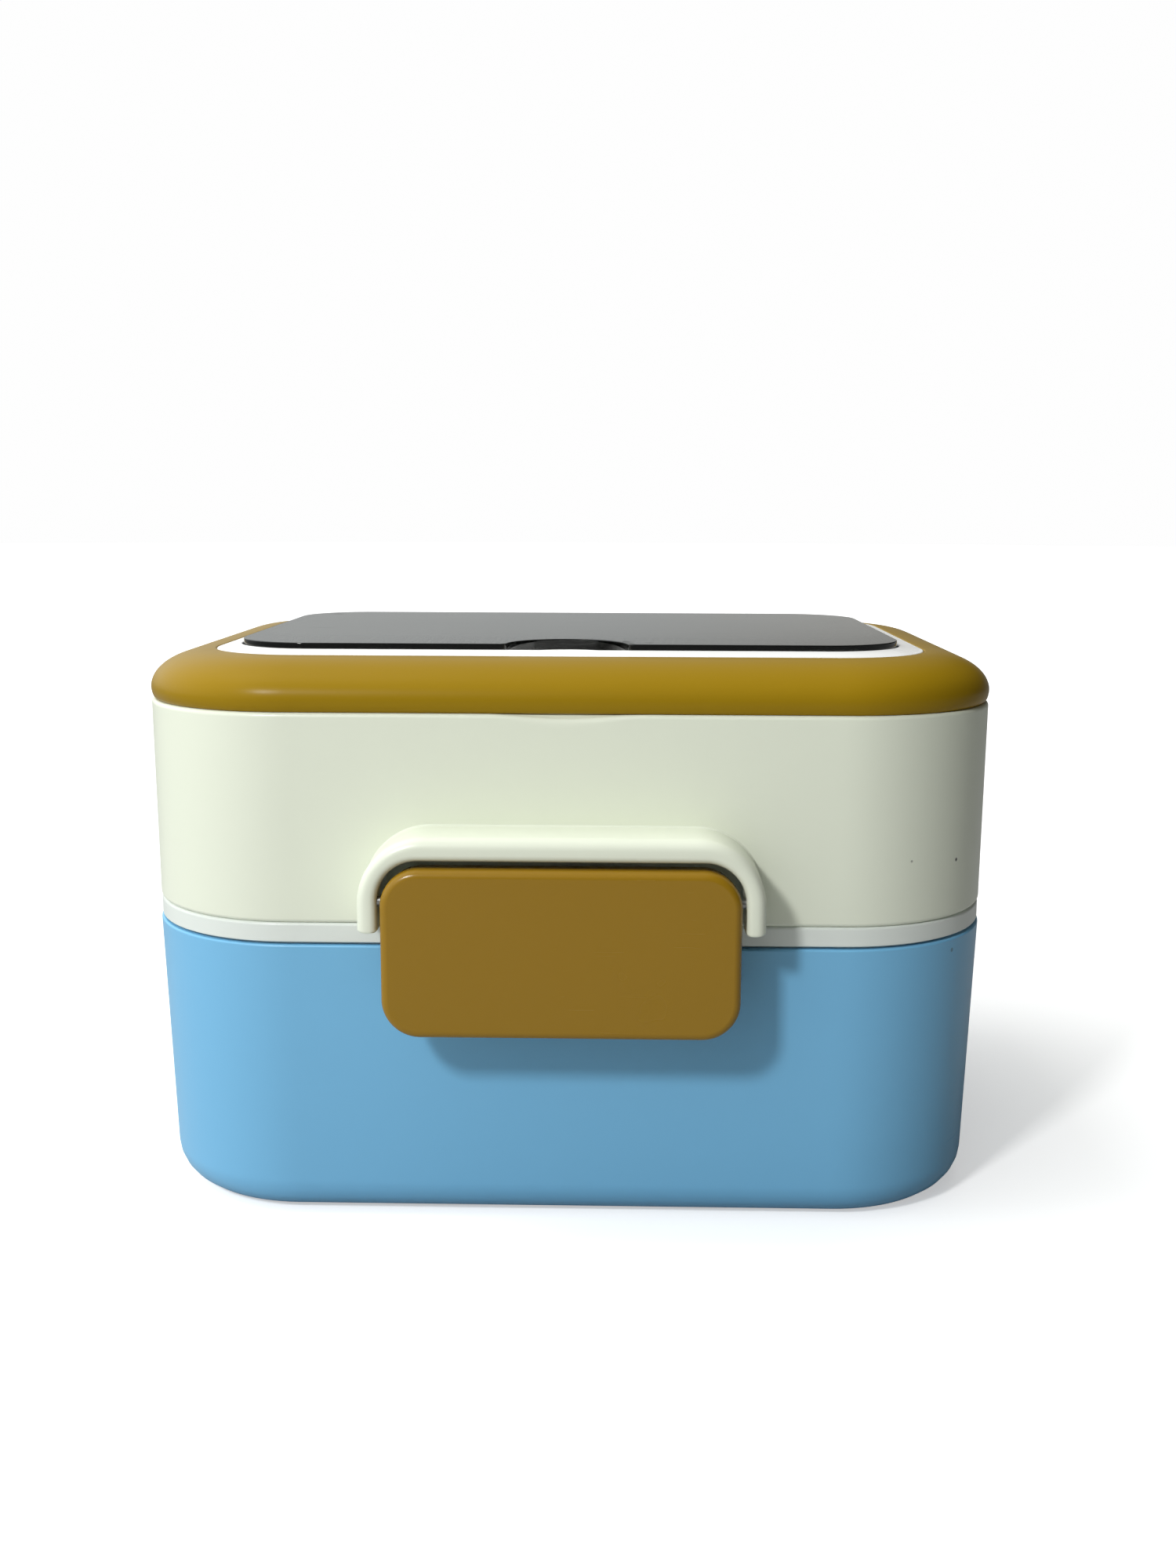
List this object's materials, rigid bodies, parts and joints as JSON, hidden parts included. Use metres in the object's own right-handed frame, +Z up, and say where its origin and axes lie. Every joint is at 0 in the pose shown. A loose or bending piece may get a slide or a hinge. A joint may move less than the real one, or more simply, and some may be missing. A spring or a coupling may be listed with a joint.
{
  "type": "bento lunch box",
  "caption": "Stacked lunch box with a latched upper tier, an inner lid, and a cutlery tray under a smoked cover in its domed lid.",
  "frame": {"origin": "centre of the whole box at the level it stands on", "axes": "+Z up, +X to the right, the front latch faces -Y"},
  "size_m": [0.19, 0.172, 0.1254],
  "materials": {
    "blue_plastic": "glossy moulded",
    "cream_plastic": "glossy moulded",
    "white_plastic": "satin gloss moulded",
    "mustard_lid": "satin moulded",
    "mustard_latch": "satin moulded",
    "smoked_plastic": "clear smoked, polished",
    "silicone": "matte translucent",
    "pin_steel": "drawn wire",
    "cutlery_plastic": "satin gloss moulded"
  },
  "bodies": {
    "lower_tier": {"lower_tier": "blue_plastic"},
    "inner_lid": {"lower_lid": "white_plastic", "lower_lid_seal": "silicone"},
    "upper_tier": {"upper_tier": "cream_plastic", "front_hinge_pin": "pin_steel", "rear_hinge_pin": "pin_steel"},
    "front_latch": {"front_latch": "mustard_latch"},
    "rear_latch": {"rear_latch": "mustard_latch"},
    "lid": {"lid_frame": "mustard_lid", "cutlery_tray": "white_plastic", "lid_seal": "silicone"},
    "smoked_cover": {"smoked_cover": "smoked_plastic"},
    "spoon": {"spoon": "cutlery_plastic"},
    "fork": {"fork": "cutlery_plastic"}
  },
  "joints": [
    {"name": "upper_tier_lift", "type": "slide", "parent": "lower_tier", "child": "upper_tier", "axis": [0, 0, 1], "range_m": [0, 0.12]},
    {"name": "inner_lid_lift", "type": "slide", "parent": "lower_tier", "child": "inner_lid", "axis": [0, 0, 1], "range_m": [0, 0.06]},
    {"name": "front_latch_hinge", "type": "hinge", "parent": "upper_tier", "child": "front_latch", "pos_m": [0, -0.082, 0.0752], "axis": [-1, 0, 0], "range_deg": [0, 90]},
    {"name": "rear_latch_hinge", "type": "hinge", "parent": "upper_tier", "child": "rear_latch", "pos_m": [0, 0.082, 0.0752], "axis": [1, 0, 0], "range_deg": [0, 90]},
    {"name": "lid_lift", "type": "slide", "parent": "upper_tier", "child": "lid", "axis": [0, 0, 1], "range_m": [0, 0.08]},
    {"name": "cover_lift", "type": "slide", "parent": "lid", "child": "smoked_cover", "axis": [0, 0, 1], "range_m": [0, 0.06]},
    {"name": "spoon_lift", "type": "slide", "parent": "lid", "child": "spoon", "axis": [0, 0, 1], "range_m": [0, 0.03]},
    {"name": "fork_lift", "type": "slide", "parent": "lid", "child": "fork", "axis": [0, 0, 1], "range_m": [0, 0.03]}
  ],
  "couplings": [
    {"joint": "inner_lid_lift", "follows": "upper_tier_lift", "ratio": 0.5},
    {"joint": "spoon_lift", "follows": "cover_lift", "ratio": 0.5},
    {"joint": "fork_lift", "follows": "cover_lift", "ratio": 0.5}
  ]
}
